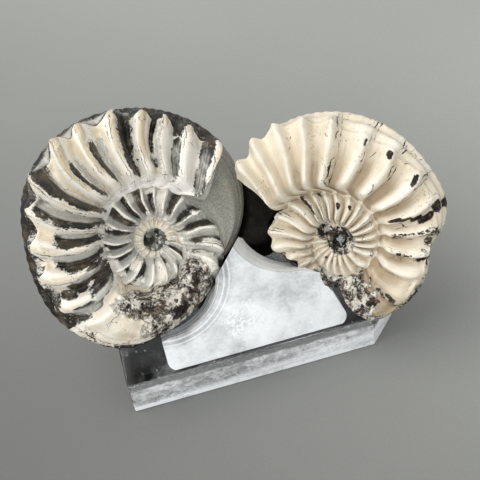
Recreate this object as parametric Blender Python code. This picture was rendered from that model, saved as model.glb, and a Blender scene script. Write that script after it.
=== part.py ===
"""Two ribbed Pleuroceras ammonites joined by dark rock, resting on a clear acrylic stand.

Lengths are in metres. The origin is the centre of the base's underside, +X runs along the
base's front edge, +Y away from the viewer and +Z up. A shell is drawn in its own plane: a
growth angle in degrees winds outward from the centre, and height is measured from the plane
of symmetry towards the face that the viewer sees.
"""
import math

import bmesh
import bpy
import numpy as np
from mathutils import Matrix, Vector

MM = 0.001
GAP = 0.3 * MM

# Stand
BASE_FRONT_LENGTH = 60.0 * MM
BASE_DEPTH = 40.0 * MM
BASE_HEIGHT = 10.0 * MM
BASE_CLIP_ALONG = 8.0 * MM
BASE_CLIP_BACK = 8.5 * MM
BASE_EDGE_ROUND = 0.5 * MM
PLATE_THICKNESS = 8.0 * MM
PLATE_LEAN = 22.0
PLATE_SETBACK = 0.8 * MM
PLATE_CORNER_ROUND = 2.6 * MM
SCOOP_RADIUS = 12.7 * MM
LEFT_SCOOP = (-15.3 * MM, 22.3 * MM)
RIGHT_SCOOP = (14.9 * MM, 30.0 * MM)
PEAK_FLANK = ((-5.9 * MM, 18.0 * MM), (4.4 * MM, 30.2 * MM))
PEAK_TOP = 28.5 * MM
SIGHT_LINE = (0.07, 0.68, -0.73)

# Shells: centre of the coil, turn of the face to the right and its rise, in degrees
LEFT_CENTRE = (-14.5 * MM, 0.9 * MM, 34.6 * MM)
LEFT_FACING = (13.0, 38.0)
RIGHT_CENTRE = (26.6 * MM, -7.8 * MM, 27.0 * MM)
RIGHT_FACING = (-26.0, 34.0)

# Reach of the ribs' tips from the coil's centre, as (growth angle, millimetres)
LEFT_REACH = (
    (0, 0.4), (60, 2.2), (125, 4.6), (200, 5.1), (283, 4.6), (345, 4.7), (395, 6.1),
    (420, 8.0), (455, 10.2), (485, 11.8), (515, 12.8), (560, 12.5), (610, 12.7), (660, 11.8),
    (700, 11.6), (725, 13.4), (745, 15.6), (775, 15.8), (800, 17.4), (820, 20.0), (850, 25.0),
    (875, 26.6), (905, 27.2), (930, 29.4), (950, 31.6), (970, 32.0), (990, 30.4), (1010, 28.2),
    (1030, 26.0), (1046, 25.7), (1060, 24.8), (1078, 22.8), (1096, 20.2), (1118, 16.8),
)
RIGHT_REACH = (
    (0, 0.4), (60, 2.8), (110, 4.2), (200, 6.2), (284, 8.7), (345, 9.5), (400, 10.6),
    (460, 11.7), (503, 13.8), (534, 15.8), (550, 15.0), (566, 12.4), (590, 11.4), (620, 11.6),
    (637, 12.2), (650, 19.2), (662, 20.6), (690, 21.0), (720, 22.8), (750, 25.2), (780, 25.9),
    (800, 26.9), (824, 30.2), (840, 31.2), (860, 29.6), (875, 27.6),
)

# Reach of the keel round the last whorl, as (growth angle, millimetres)
LEFT_KEEL = (
    (757, 17.0), (800, 19.0), (825, 22.0), (850, 26.6), (870, 28.2), (888, 29.2), (904, 29.4),
    (920, 30.0), (945, 32.2), (975, 32.2), (993, 31.0), (1019, 29.2), (1046, 27.2),
    (1065, 25.2), (1089, 21.8), (1118, 17.4),
)
RIGHT_KEEL = (
    (513, 14.4), (534, 16.2), (566, 12.9), (637, 12.6), (652, 20.2), (670, 21.4), (710, 22.4),
    (736, 26.0), (764, 27.6), (795, 29.4), (815, 30.0), (838, 29.8), (856, 28.2), (875, 26.4),
)

# Ribs of one turn, up to the last one, as (growth angle of the tip, lead of the inner end)
LEFT_RIBS = (
    (705, 2), (722, 2), (738, 2), (754, 2), (770, 0), (786, -2), (802, -4), (818, -4),
    (833, -4), (852, -4), (872, -4), (888, -2), (905, 0), (920, 2), (936, 2), (949, 0),
    (966, -6), (977, 0), (992, 0), (1005, 2), (1016, 4), (1029, 10), (1046, 22),
)
RIGHT_RIBS = (
    (517, 8), (533, 6), (549, 4), (565, 2), (581, 0), (597, 0), (614, 0), (630, 0), (646, 0),
    (662, 0), (681, 0), (704, 0), (718, 4), (733, 6), (748, 1), (762, 3), (780, 4),
    (795, 12), (812, 14), (825, 14), (837, 12), (850, 12), (861, 13),
)
LEFT_ROWS_PAST_LAST_RIB = 17
RIGHT_ROWS_PAST_LAST_RIB = 2
RIB_BOW = 4.0
INNER_RIB_LEAD = 2.0

# Whorl section, as fractions of its reach
FLANK_HEIGHT = 0.26
SHOULDER_HEIGHT = 0.225
BACK_HEIGHT = 0.75
BACK_REACH = 0.965
FLANK_RIB_RELIEF = 0.045
SHOULDER_RIB_RELIEF = 0.075
RIB_TIP_REACH = 0.055
FILL_DROP = 0.35

ROWS_PER_RIB = 4
FLANK_STEPS = (0.20, 0.52, 0.84, 1.0)
BACK_STEPS = (0.45, 1.0)
KEEL_STEPS = (0.2, 0.5, 0.8)
KEEL_SHAPE = (0.35, 1.0, 0.35)

# Rock that joins the shells
ROCK_CENTRE = (7.5 * MM, 9.5 * MM, 26.0 * MM)
ROCK_SIZE = (18.0 * MM, 10.5 * MM, 11.5 * MM)
ROCK_LUMPS = 0.10
ROCK_CLEARANCE = 0.5 * MM
ROCK_FLOOR = BASE_HEIGHT + 1.2 * MM

ACRYLIC = ("clear_acrylic", (0.93, 0.96, 0.97, 1.0), 0.04, 1.0)
DARK_SHELL = ("dark_mould_and_shell", (0.33, 0.30, 0.26, 1.0), 0.55, 0.0)
PALE_SHELL = ("cream_shell", (0.80, 0.73, 0.61, 1.0), 0.50, 0.0)
DARK_ROCK = ("dark_rock", (0.075, 0.070, 0.060, 1.0), 0.85, 0.0)


def clear_scene():
    for obj in list(bpy.data.objects):
        bpy.data.objects.remove(obj, do_unlink=True)


def make_material(name, colour, roughness, transmission):
    material = bpy.data.materials.new(name)
    material.use_nodes = True
    shader = material.node_tree.nodes["Principled BSDF"]
    shader.inputs["Base Color"].default_value = colour
    shader.inputs["Roughness"].default_value = roughness
    shader.inputs["Metallic"].default_value = 0.0
    shader.inputs["Transmission Weight"].default_value = transmission
    return material


def add_object(name, mesh, material):
    obj = bpy.data.objects.new(name, mesh)
    bpy.context.scene.collection.objects.link(obj)
    if material:
        mesh.materials.append(material)
    return obj


def add_modifier_cut(obj, cutter, name):
    cut = obj.modifiers.new(name, "BOOLEAN")
    cut.operation = "DIFFERENCE"
    cut.solver = "EXACT"
    cut.object = cutter
    cutter.hide_render = True
    cutter.display_type = "WIRE"


# Smooth curve through a few chosen points, and the frame of a shell

def smooth_through(points, at):
    """Cubic through (x, y) points, with slopes from each point's neighbours."""
    xs, ys = np.array(points, float).T
    steps = np.diff(xs)
    rises = np.diff(ys) / steps
    slopes = np.empty_like(ys)
    slopes[1:-1] = (rises[:-1] * steps[1:] + rises[1:] * steps[:-1]) / (steps[1:] + steps[:-1])
    slopes[0], slopes[-1] = rises[0], rises[-1]
    at = np.clip(at, xs[0], xs[-1])
    i = np.clip(np.searchsorted(xs, at, side="right") - 1, 0, len(xs) - 2)
    u = (at - xs[i]) / steps[i]
    rest = 1 - u
    return (ys[i] * rest * rest * (1 + 2 * u) + ys[i + 1] * u * u * (3 - 2 * u)
            + slopes[i] * steps[i] * u * rest * rest - slopes[i + 1] * steps[i] * u * u * rest)


def smooth_step(low, high, value):
    u = np.clip((value - low) / (high - low), 0, 1)
    return u * u * (3 - 2 * u)


def shell_axes(facing):
    """Right and up directions in the shell's plane, and the normal of its shown face."""
    turn, rise = (math.radians(angle) for angle in facing)
    normal = Vector((math.sin(turn) * math.cos(rise), -math.cos(turn) * math.cos(rise),
                     math.sin(rise)))
    right = Vector((0, 0, 1)).cross(normal).normalized()
    return right, normal.cross(right), normal


class Ammonite:
    """A coiled shell whose whorls share the seam where one rests on the other.

    A row is a line across the whorl; ROWS_PER_RIB rows follow each rib and its hollow, and a
    turn always has the same number of rows.
    """

    def __init__(self, centre, facing, winding, reach, keel, ribs, rows_past, filled):
        self.centre = Vector(centre)
        self.right, self.up, self.normal = shell_axes(facing)
        self.winding = winding
        self.filled = filled
        self.rows_per_turn = ROWS_PER_RIB * len(ribs)
        turns = int(ribs[-1][0] // 360) + 1
        tips = [(tip + 360 * turn, INNER_RIB_LEAD if turn else lead)
                for turn in range(-turns, 2) for tip, lead in ribs]
        tips = np.array([(tip, lead) for tip, lead in tips if tip > 0], float)
        last = int(np.argmin(np.abs(tips[:, 0] - ribs[-1][0]))) * ROWS_PER_RIB
        rows = np.arange(last + rows_past + 1)
        crests = np.arange(len(tips)) * ROWS_PER_RIB
        self.rows = rows
        self.angle = np.interp(rows, crests, tips[:, 0])
        self.lead = np.interp(rows, crests, tips[:, 1])
        phase = rows / ROWS_PER_RIB
        ridge = 0.5 * (1 - np.abs(np.sin(math.pi * phase))) + 0.5 * np.cos(math.pi * phase) ** 2
        past = smooth_step(last, last + ROWS_PER_RIB, rows) if filled else 0
        self.past = past
        self.ridge = ridge * smooth_step(30, 90, self.angle) * (1 - past)
        tip_reach = smooth_through(reach, self.angle) * MM
        self.reach = tip_reach * (1 - RIB_TIP_REACH * (1 - self.ridge))
        self.keel = smooth_through(keel, self.angle) * MM
        inner = np.concatenate([np.zeros(self.rows_per_turn), self.reach])[:len(rows)]
        self.inner = inner
        self.inner_ridge = np.concatenate([np.zeros(self.rows_per_turn), self.ridge])[:len(rows)]
        self.shoulder = self.reach * SHOULDER_HEIGHT * (1 - FILL_DROP * past)

    def flank(self, across):
        """Angle, distance from the axis and height of each row, from seam (0) to shoulder (1)."""
        sweep = self.lead * (1 - across) - RIB_BOW * math.sin(math.pi * across)
        distance = self.inner + (self.reach - self.inner) * across
        start = self.inner * SHOULDER_HEIGHT
        top = self.reach * FLANK_HEIGHT * (1 - FILL_DROP * self.past)
        wall = smooth_step(-0.05, 0.30, across)
        fall = smooth_step(0.80, 1.05, across)
        height = start + (top - start) * wall - (top - self.shoulder) * fall
        relief = FLANK_RIB_RELIEF + (SHOULDER_RIB_RELIEF - FLANK_RIB_RELIEF) * across
        height = height + self.reach * relief * (self.ridge - 0.5)
        if across >= 1.0:
            height = self.shoulder * (0.85 + 0.15 * self.ridge)
        return self.angle + sweep * (across < 1.0), distance, height

    def venter(self, across, shape):
        """The outer wall, from the shown shoulder (0) over the keel to the other (1)."""
        angle, edge, shoulder = self.flank(1.0)
        return (angle, edge + (self.keel - edge) * shape,
                shoulder * (1 - (1 + BACK_HEIGHT) * across))

    def place(self, angle, distance, height):
        polar = math.radians(angle * self.winding)
        return (self.centre + self.right * (distance * math.cos(polar))
                + self.up * (distance * math.sin(polar)) + self.normal * height)


def ammonite_mesh(name, shell):
    """One closed surface: two coiled flanks, the outer wall and the aperture."""
    last = len(shell.rows) - 1
    points = []
    faces = []

    def add(angle, distance, height):
        points.append(shell.place(float(angle), float(distance), float(height)))
        return len(points) - 1

    def flank_rows(steps, side):
        """Vertex rows from seam to shoulder, each seam vertex shared with the inner whorl."""
        centre = add(0, 0, side * 0.5 * MM)
        columns = [shell.flank(across) for across in steps]
        rows = [[centre] * (len(steps) + 1)]
        for i in range(1, last + 1):
            seam = rows[i - shell.rows_per_turn][-1] if i > shell.rows_per_turn else centre
            reach = 1.0 if side > 0 else BACK_REACH
            rows.append([seam] + [add(a[i], d[i] * reach, side * h[i]) for a, d, h in columns])
        for before, after in zip(rows, rows[1:]):
            for k in range(len(steps)):
                corners = [before[k], before[k + 1], after[k + 1], after[k]]
                corners = [c for j, c in enumerate(corners) if c not in corners[:j]]
                if len(corners) > 2:
                    faces.append(corners if side > 0 else corners[::-1])
        return rows

    front = flank_rows(FLANK_STEPS, 1)
    back = flank_rows(BACK_STEPS, -BACK_HEIGHT)
    first = last - shell.rows_per_turn
    columns = [shell.venter(across, shape) for across, shape in zip(KEEL_STEPS, KEEL_SHAPE)]
    outer = []
    for i in range(first, last + 1):
        keel = [add(a[i], d[i], h[i]) for a, d, h in columns]
        outer.append([front[i][-1]] + keel + [back[i][-1]])
    for before, after in zip(outer, outer[1:]):
        for k in range(len(KEEL_STEPS) + 1):
            faces.append([before[k], before[k + 1], after[k + 1], after[k]])
    faces.append(front[last][:-1] + outer[-1] + back[last][-2::-1] + outer[0][-2:0:-1])

    mesh = bpy.data.meshes.new(name)
    mesh.from_pydata(points, [], faces)
    body = bmesh.new()
    body.from_mesh(mesh)
    bmesh.ops.triangulate(body, faces=[f for f in body.faces if len(f.verts) > 4])
    bmesh.ops.recalc_face_normals(body, faces=body.faces)
    body.to_mesh(mesh)
    body.free()
    mesh.shade_smooth()
    return mesh


def envelope_cutter(name, shell, clearance):
    """A smooth drum just larger than the shell, for the bed that rock or stand leaves it."""
    first = len(shell.rows) - shell.rows_per_turn
    rows = range(first, len(shell.rows))
    body = bmesh.new()
    rings = []
    for i in rows:
        near = slice(max(first, i - 1), i + 2)
        reach = float(shell.reach[near].max())
        rim = max(reach, float(shell.keel[near].max())) + clearance
        half = reach * (FLANK_HEIGHT + 0.6 * SHOULDER_RIB_RELIEF) + clearance
        shoulder = reach * SHOULDER_HEIGHT + clearance
        corners = ((reach * 0.9, half), (reach + clearance, shoulder), (rim, shoulder * 0.55),
                   (rim, -shoulder * 0.55), (reach + clearance, -shoulder * 0.85),
                   (reach * 0.9, -half * 0.85))
        rings.append([body.verts.new(shell.place(float(shell.angle[i]), r, h))
                      for r, h in corners])
    half = float(shell.reach[first:].max()) * FLANK_HEIGHT + clearance
    front = body.verts.new(shell.place(0, 0, half))
    back = body.verts.new(shell.place(0, 0, -half * 0.9))
    for ring, other in zip(rings, rings[1:] + rings[:1]):
        body.faces.new([front, ring[0], other[0]])
        body.faces.new([back, other[-1], ring[-1]])
        for k in range(len(ring) - 1):
            body.faces.new([ring[k], ring[k + 1], other[k + 1], other[k]])
    bmesh.ops.recalc_face_normals(body, faces=body.faces)
    mesh = bpy.data.meshes.new(name)
    body.to_mesh(mesh)
    body.free()
    return add_object(name, mesh, None)


def make_rock(shells, material):
    """A lump behind the shells, bedded round both and clear of them."""
    body = bmesh.new()
    bmesh.ops.create_icosphere(body, subdivisions=4, radius=1.0)
    for vert in body.verts:
        x, y, z = vert.co
        lump = (math.sin(5.1 * x + 1.3) * math.sin(4.3 * y + 0.4) + 0.7 * math.sin(7.7 * z + 2.0 * x)
                + 0.5 * math.sin(9.5 * y - 6.0 * z))
        scale = 1 + ROCK_LUMPS * lump
        vert.co = Vector((x * ROCK_SIZE[0], y * ROCK_SIZE[1], z * ROCK_SIZE[2])) * scale
        vert.co += Vector(ROCK_CENTRE)
        vert.co.z = max(vert.co.z, ROCK_FLOOR)
    bmesh.ops.dissolve_degenerate(body, edges=body.edges, dist=0.05 * MM)
    mesh = bpy.data.meshes.new("matrix_rock")
    body.to_mesh(mesh)
    body.free()
    rock = add_object("matrix_rock", mesh, material)
    for name, shell in shells:
        add_modifier_cut(rock, envelope_cutter(name + "_bed", shell, ROCK_CLEARANCE), name)
    return rock


# Stand

def extruded_outline(name, outline, bottom_height, thickness):
    """A prism of an outline drawn in XY, from its bottom height up by its thickness."""
    body = bmesh.new()
    bottom = body.faces.new([body.verts.new((x, y, bottom_height)) for x, y in outline])
    top = bmesh.ops.extrude_face_region(body, geom=[bottom])["geom"]
    verts = [item for item in top if isinstance(item, bmesh.types.BMVert)]
    bmesh.ops.translate(body, verts=verts, vec=(0, 0, thickness))
    bmesh.ops.recalc_face_normals(body, faces=body.faces)
    mesh = bpy.data.meshes.new(name)
    body.to_mesh(mesh)
    body.free()
    return mesh


def make_base(material):
    half, depth = BASE_FRONT_LENGTH / 2, BASE_DEPTH / 2
    right = half + BASE_CLIP_ALONG
    outline = ((-half, -depth), (half, -depth), (right, -depth + BASE_CLIP_BACK),
               (right, depth), (-half, depth))
    base = add_object("stand_base", extruded_outline("stand_base", outline, 0, BASE_HEIGHT),
                      material)
    edges = base.modifiers.new("polished_edges", "BEVEL")
    edges.width = BASE_EDGE_ROUND
    edges.segments = 2
    edges.limit_method = "ANGLE"
    edges.angle_limit = math.radians(40)
    return base


def arc(centre, radius, start, finish, count):
    return [(centre[0] + radius * math.cos(math.radians(start + (finish - start) * i / count)),
             centre[1] + radius * math.sin(math.radians(start + (finish - start) * i / count)))
            for i in range(count + 1)]


def plate_outline():
    """Front face of the upright before its scoops are cut: along X, and up its own slope."""
    left, right_foot, right_top = -19.3 * MM, 24.3 * MM, 20.4 * MM
    shoulder = 15.2 * MM
    r = PLATE_CORNER_ROUND
    outline = arc((left + r, r), r, 180, 270, 5)
    outline += arc((right_foot - r, r), r, 270, 372, 5)
    outline += arc((right_top - 0.8 * MM, shoulder - 0.8 * MM), 0.8 * MM, 12, 84, 3)
    outline += [(14.9 * MM, 17.3 * MM), (14.9 * MM, 20.0 * MM), (7.0 * MM, PEAK_TOP),
                (2.6 * MM, PEAK_TOP), (-4.5 * MM, 21.5 * MM), (-12.0 * MM, 13.0 * MM),
                (-14.0 * MM, 10.6 * MM), (left, 10.6 * MM)]
    return outline


def scoop_cutter(name, centre, facing, plate_matrix):
    """A round bar along a shell's axis, through the plate where its scoop is."""
    radius = SCOOP_RADIUS
    body = bmesh.new()
    bmesh.ops.create_cone(body, cap_ends=True, segments=72, radius1=radius, radius2=radius,
                          depth=60 * MM)
    mesh = bpy.data.meshes.new(name)
    body.to_mesh(mesh)
    body.free()
    cutter = add_object(name, mesh, None)
    right, up, normal = shell_axes(facing)
    cutter.matrix_world = Matrix((right, up, normal)).transposed().to_4x4()
    cutter.location = plate_matrix @ Vector((centre[0], centre[1], 0))
    return cutter


def foot_cutter():
    """A block up to the base's top, so that the leaning plate stands flat on it."""
    body = bmesh.new()
    bmesh.ops.create_cube(body, size=80 * MM)
    bmesh.ops.translate(body, verts=body.verts, vec=(0, 0, BASE_HEIGHT + GAP - 40 * MM))
    mesh = bpy.data.meshes.new("foot_cut")
    body.to_mesh(mesh)
    body.free()
    return add_object("foot_cut", mesh, None)


def peak_cutter(plate_matrix):
    """A block that trims the peak's left flank, along the line of sight past the shell."""
    start, finish = (plate_matrix @ Vector((x, w, 0)) for x, w in PEAK_FLANK)
    along = (finish - start).normalized()
    sight = Vector(SIGHT_LINE)
    sight = (sight - along * sight.dot(along)).normalized()
    outward = along.cross(sight)
    if outward.x > 0:
        outward = -outward
    body = bmesh.new()
    bmesh.ops.create_cube(body, size=1.0)
    block = Matrix((along, sight, outward)).transposed().to_4x4()
    size = Matrix.Diagonal((30 * MM, 60 * MM, 12 * MM, 1))
    centre = start + along * 15 * MM + outward * 6 * MM
    bmesh.ops.transform(body, matrix=Matrix.Translation(centre) @ block @ size, verts=body.verts)
    bmesh.ops.recalc_face_normals(body, faces=body.faces)
    mesh = bpy.data.meshes.new("peak_cut")
    body.to_mesh(mesh)
    body.free()
    return add_object("peak_cut", mesh, None)


def make_upright(material):
    """The plate leans back by PLATE_LEAN, its front face flush above the base's front."""
    mesh = extruded_outline("stand_upright", plate_outline(), -PLATE_THICKNESS, PLATE_THICKNESS)
    upright = add_object("stand_upright", mesh, material)
    lean = math.radians(PLATE_LEAN)
    along, slope = Vector((1, 0, 0)), Vector((0, math.sin(lean), math.cos(lean)))
    outward = along.cross(slope)
    foot = Vector((0, -BASE_DEPTH / 2 + PLATE_SETBACK, BASE_HEIGHT))
    matrix = Matrix((along, slope, outward)).transposed().to_4x4()
    matrix.translation = foot
    upright.matrix_world = matrix
    return upright, matrix


def main():
    clear_scene()
    acrylic = make_material(*ACRYLIC)
    left = Ammonite(LEFT_CENTRE, LEFT_FACING, -1, LEFT_REACH, LEFT_KEEL, LEFT_RIBS,
                    LEFT_ROWS_PAST_LAST_RIB, True)
    right = Ammonite(RIGHT_CENTRE, RIGHT_FACING, 1, RIGHT_REACH, RIGHT_KEEL, RIGHT_RIBS,
                     RIGHT_ROWS_PAST_LAST_RIB, False)
    add_object("left_ammonite", ammonite_mesh("left_ammonite", left), make_material(*DARK_SHELL))
    add_object("right_ammonite", ammonite_mesh("right_ammonite", right),
               make_material(*PALE_SHELL))
    shells = (("left", left), ("right", right))
    make_rock(shells, make_material(*DARK_ROCK))
    make_base(acrylic)
    upright, matrix = make_upright(acrylic)
    add_modifier_cut(upright, scoop_cutter("left_scoop", LEFT_SCOOP, LEFT_FACING, matrix),
                     "left_scoop")
    add_modifier_cut(upright, scoop_cutter("right_scoop", RIGHT_SCOOP, RIGHT_FACING, matrix),
                     "right_scoop")
    add_modifier_cut(upright, foot_cutter(), "foot")
    add_modifier_cut(upright, peak_cutter(matrix), "peak_flank")
    for name, shell in shells:
        add_modifier_cut(upright, bpy.data.objects[name + "_bed"], name + "_bed")


main()
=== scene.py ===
"""Two ribbed Pleuroceras ammonites in dark rock, on a clear acrylic stand."""
import math
from functools import partialmethod

import bpy
import numpy as np
from mathutils import Matrix, Vector


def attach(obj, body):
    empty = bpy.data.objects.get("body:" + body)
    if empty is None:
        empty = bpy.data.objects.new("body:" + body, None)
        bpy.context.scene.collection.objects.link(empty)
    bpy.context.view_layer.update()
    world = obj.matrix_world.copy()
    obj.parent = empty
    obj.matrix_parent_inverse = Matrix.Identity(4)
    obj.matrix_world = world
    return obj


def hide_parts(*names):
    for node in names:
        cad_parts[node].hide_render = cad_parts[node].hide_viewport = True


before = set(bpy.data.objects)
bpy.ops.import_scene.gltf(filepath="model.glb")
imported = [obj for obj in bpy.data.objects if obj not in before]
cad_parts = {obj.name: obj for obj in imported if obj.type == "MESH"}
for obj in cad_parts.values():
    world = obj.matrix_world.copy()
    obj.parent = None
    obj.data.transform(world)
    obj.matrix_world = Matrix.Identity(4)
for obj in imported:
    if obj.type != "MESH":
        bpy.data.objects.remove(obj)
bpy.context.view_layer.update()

MM = 0.001

# Camera: place and directions, then lens and sensor in millimetres, and its nearest sight
CAMERA_PLACE = (-14.7 * MM, -194.0 * MM, 233.4 * MM)
CAMERA_FORWARD = (0.0684, 0.6837, -0.7266)
CAMERA_RIGHT = (0.962, -0.237, -0.133)
CAMERA_LENS = 90.0
CAMERA_SENSOR = 36.0
CAMERA_CLIP = 10.0 * MM

# Light: radiance of the surroundings, and (name, place, aim, width, height, power, colour)
SURROUND = 0.7
SURROUND_COLOUR = (0.98, 0.99, 1.0)
LIGHTS = (
    ("window", (-0.5, 0.05, 0.74), (0, 0, 0.02), 1.0, 1.0, 6.9, (1.0, 0.99, 0.97)),
    ("front_panel", (-0.32, -0.82, 0.32), (0, 0, 0.02), 0.6, 0.5, 3.6, (0.98, 0.99, 1.0)),
)

# Table, a hair below the base
TABLE_SIZE = 3.0
TABLE_HEIGHT = -0.05 * MM

# Colours, as linear red, green and blue
TABLE_TONE = (0.352, 0.358, 0.34)
# Painted shadow: the near-black tone laid on the table under the base
UNDER_BASE_PAINTED_SHADOW = (0.006, 0.006, 0.006)
DEEP_CREAM, CREAM = (0.68, 0.6, 0.46), (0.8, 0.73, 0.59)
# The whitest shell colour is partly painted light on the seam wall, which faces away from the lamps
CHALK, WHITE_SHELL_AND_LIGHT = (0.88, 0.85, 0.77), (0.97, 0.95, 0.89)
GROWTH_LINE, SHELL_SPECK = (0.5, 0.41, 0.28), (0.36, 0.28, 0.19)
BROKEN_RIM, SEAM_LINE = (0.66, 0.645, 0.58), (0.13, 0.12, 0.095)
CRUMB_HOLE, CRUMB_PIT = (0.008, 0.006, 0.004), (0.02, 0.015, 0.01)
BROWN_CRUMB, CREAM_CRUMB = (0.24, 0.18, 0.115), (0.92, 0.87, 0.76)
CRUMB_RIDGE = (0.96, 0.93, 0.86)
BLACK_CRYSTAL, GREY_CRYSTAL = (0.008, 0.008, 0.007), (0.24, 0.25, 0.21)
BROWN_CRYSTAL, PALE_CRYSTAL = (0.11, 0.075, 0.045), (0.55, 0.55, 0.49)
# Painted highlight on a crystal of the right shell's heart
CRYSTAL_GLINT = (0.74, 0.77, 0.79)
# The pale film on the mould is partly real and partly a painted highlight
MOTTLE, WORN_MOULD, PALE_FILM_AND_HIGHLIGHT = (0.2, 0.175, 0.125), (0.4, 0.385, 0.33), (0.6, 0.59, 0.53)
GREY_FILL, PALE_FILL = (0.21, 0.205, 0.175), (0.33, 0.325, 0.28)
DARK_INSIDE, BROWN_INSIDE = (0.012, 0.009, 0.006), (0.15, 0.105, 0.062)
# The rock's black is partly painted shade, deep in the gap between the shells
BLACK_ROCK_AND_SHADE, DARK_ROCK, ROCK_GRIT = (0.004, 0.0035, 0.003), (0.014, 0.012, 0.009), (0.05, 0.04, 0.03)
# The pale film on the acrylic is partly dusty haze and partly a painted reflection
ACRYLIC, DUST_AND_REFLECTION = (0.97, 0.985, 0.99), (0.86, 0.88, 0.89)

# Stand
BASE_FRONT = 60.0 * MM
BASE_DEPTH = 40.0 * MM
BASE_HEIGHT = 10.0 * MM
BASE_CLIP = (8.0 * MM, 8.5 * MM)
SCOOP_RADIUS = 12.7 * MM
SCOOP_MIDDLE = (-15.3 * MM, -10.85 * MM, 30.7 * MM)
PLATE_LEAN = math.radians(22.0)
PLATE_FOOT = (0.0, 0.8 * MM - BASE_DEPTH / 2, BASE_HEIGHT)
PLATE_OUTWARD = (0.0, -math.cos(PLATE_LEAN), math.sin(PLATE_LEAN))
EDGE_ROUND = 0.5 * MM
EDGE_ANGLE = math.radians(40)
SMOOTH_ANGLE = math.radians(30)
FLAT_ANGLE = math.radians(0.6)
MERGE_WITHIN = 0.02 * MM

# Painted highlights on the plate and in it, a patch of scratches, and the table's painted shadow
# under the base; soft borders are given as (outer, inner)
CLEAR_ROUND_SCOOP = (SCOOP_RADIUS + 3.4 * MM, SCOOP_RADIUS + 1.6 * MM)
# Painted highlights: rings beside the left scoop and lines in the wall, where edges would catch the
# light
SCOOP_HIGHLIGHT_RINGS = (SCOOP_RADIUS + 0.9 * MM, SCOOP_RADIUS + 2.1 * MM)
WALL_HIGHLIGHT_LINES = (-1.7 * MM, -5.0 * MM)
SCRATCHES_MIDDLE = (0.9 * MM, -16.1 * MM, 17.6 * MM)
SCRATCHES_REACH = (6.0 * MM, 2.5 * MM)
CORNER_SHADE = (47.5 * MM, 44.5 * MM)

# Relief of the rock, as (name, size, depth)
ROCK_RELIEF = (("lumps", 2.6 * MM, 1.1 * MM), ("grit", 0.8 * MM, 0.5 * MM))

# Shells: centre of the coil, turn of the face to the right and its rise, in degrees
LEFT_CENTRE = (-14.5 * MM, 0.9 * MM, 34.6 * MM)
LEFT_FACING = (13.0, 38.0)
RIGHT_CENTRE = (26.6 * MM, -7.8 * MM, 27.0 * MM)
RIGHT_FACING = (-26.0, 34.0)

# Reach of the ribs' tips from the coil's centre, as (growth angle, millimetres)
LEFT_REACH = (
    (0, 0.4), (60, 2.2), (125, 4.6), (200, 5.1), (283, 4.6), (345, 4.7), (395, 6.1), (420, 8),
    (455, 10.2), (485, 11.8), (515, 12.8), (560, 12.5), (610, 12.7), (660, 11.8), (700, 11.6),
    (725, 13.4), (745, 15.6), (775, 15.8), (800, 17.4), (820, 20), (850, 25), (875, 26.6),
    (905, 27.2), (930, 29.4), (950, 31.6), (970, 32), (990, 30.4), (1010, 28.2), (1030, 26),
    (1046, 25.7), (1060, 24.8), (1078, 22.8), (1096, 20.2), (1118, 16.8),
)
RIGHT_REACH = (
    (0, 0.4), (60, 2.8), (110, 4.2), (200, 6.2), (284, 8.7), (345, 9.5), (400, 10.6), (460, 11.7),
    (503, 13.8), (534, 15.8), (550, 15), (566, 12.4), (590, 11.4), (620, 11.6), (637, 12.2),
    (650, 19.2), (662, 20.6), (690, 21), (708, 21.4), (721, 21.8), (733, 23.8), (750, 25.2),
    (780, 25.9), (800, 26.9), (824, 30.2), (840, 31.2), (860, 29.6), (875, 27.6),
)

# Reach of the keel round the last whorl, as (growth angle, millimetres)
LEFT_KEEL = (
    (757, 17), (800, 19), (825, 22), (850, 26.6), (870, 28.2), (888, 29.2), (904, 29.4), (920, 30),
    (945, 32.2), (975, 32.2), (993, 31), (1019, 29.2), (1046, 27.2), (1065, 25.2), (1089, 21.8),
    (1118, 17.4),
)
RIGHT_KEEL = (
    (513, 14.4), (534, 16.2), (566, 12.9), (637, 12.6), (652, 20.2), (670, 21.4), (706, 21.8),
    (715, 21.4), (723, 22.2), (732, 24.8), (740, 26.3), (764, 27.6), (795, 29.4), (815, 30),
    (838, 29.8), (856, 28.2), (875, 26.4),
)

# Ribs of one turn, up to the last one, as (growth angle of the tip, lead of the inner end)
LEFT_RIBS = (
    (705, 2), (722, 2), (738, 2), (754, 2), (770, 0), (786, -2), (802, -4), (818, -4), (833, -4),
    (852, -4), (872, -4), (888, -2), (905, 0), (920, 2), (936, 2), (949, 0), (966, -6), (977, 0),
    (992, 0), (1005, 2), (1016, 4), (1029, 10), (1046, 22),
)
RIGHT_RIBS = (
    (517, 8), (533, 6), (549, 4), (565, 2), (581, 0), (597, 0), (614, 0), (630, 0), (646, 0),
    (662, 0), (681, 0), (704, 0), (718, 4), (733, 6), (748, 1), (762, 3), (780, 4), (795, 12),
    (812, 14), (825, 14), (837, 12), (850, 12), (861, 13),
)

# Strength of the ribs, as (rib number counted back from the last rib, strength)
LEFT_STRENGTH = (
    (0, 1), (11, 1), (12.2, 0.7), (13, 0.15), (16, 0.1), (17, 0.3), (19, 0.7), (20, 0.9), (23, 0.9),
    (46, 1), (69, 0.6),
)
RIGHT_STRENGTH = (
    (0, 0.85), (12, 0.85), (13.1, 0.7), (13.9, 0.2), (16, 0.3), (18, 0.7), (46, 0.8), (69, 0.6),
)

# Section of the ribs, as (rib number, place of the hollow on the way to the next rib, narrowness)
LEFT_SECTION = ((0, 0.5, 0.8), (13, 0.5, 0.8), (19, 0.5, 1.1), (46, 0.5, 1.2), (70, 0.5, 1))
RIGHT_SECTION = ((0, 0.3, 1.15), (12, 0.3, 1.15), (18, 0.5, 0.65), (70, 0.5, 0.65))

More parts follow.
